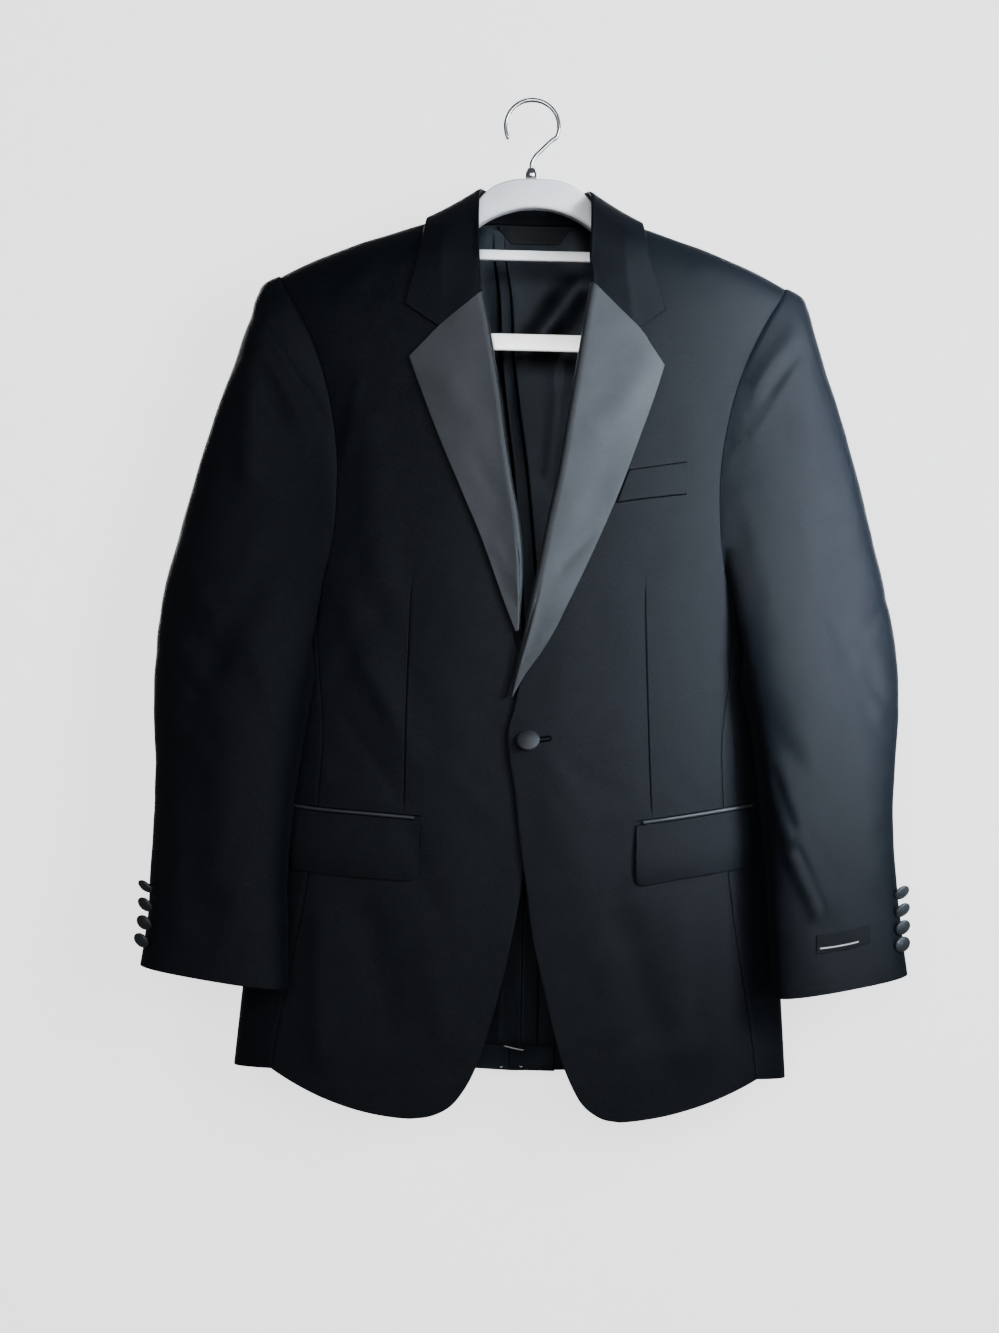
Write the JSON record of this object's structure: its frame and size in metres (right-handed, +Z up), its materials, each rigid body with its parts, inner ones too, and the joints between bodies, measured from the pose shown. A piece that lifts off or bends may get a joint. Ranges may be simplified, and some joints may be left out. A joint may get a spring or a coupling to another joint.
{
  "type": "tuxedo jacket on a hanger",
  "caption": "Single-button tuxedo jacket with satin notch lapels, flap pockets and a breast pocket, buttoned and hanging on a moulded hanger with a wire hook.",
  "frame": {"origin": "inside crown of the hanger's hook, where it hangs on a rod", "axes": "+Z up, +X to the wearer's left, the front of the jacket faces -Y"},
  "size_m": [0.6798, 0.1481, 0.91],
  "materials": {
    "wool": "fine twill, matt",
    "satin": "satin weave, soft sheen",
    "lining": "smooth lining, low sheen",
    "woven_label": "woven ribbon, matt",
    "white_plastic": "smooth moulded",
    "hook_steel": "polished"
  },
  "bodies": {
    "root": {"back_left": "wool", "back_lining": "lining", "back_right": "wool", "breast_welt": "wool", "collar": "wool", "flap_left": "wool", "flap_right": "wool", "front_button": "satin", "front_left": "wool", "front_right": "wool", "hanger_body": "white_plastic", "hanger_boss": "hook_steel", "hanger_crossbar": "white_plastic", "hook": "hook_steel", "jet_left": "satin", "jet_right": "satin", "lapel_left": "satin", "lapel_right": "satin", "neck_label": "woven_label", "side_panel_left": "wool", "side_panel_right": "wool", "sleeve_button_left_1": "satin", "sleeve_button_left_2": "satin", "sleeve_button_left_3": "satin", "sleeve_button_left_4": "satin", "sleeve_button_right_1": "satin", "sleeve_button_right_2": "satin", "sleeve_button_right_3": "satin", "sleeve_button_right_4": "satin", "sleeve_label": "woven_label", "top_sleeve_left": "wool", "top_sleeve_right": "wool", "trouser_bar": "white_plastic", "under_sleeve_left": "wool", "under_sleeve_right": "wool", "vent_underlap": "wool"}
  },
  "joints": []
}
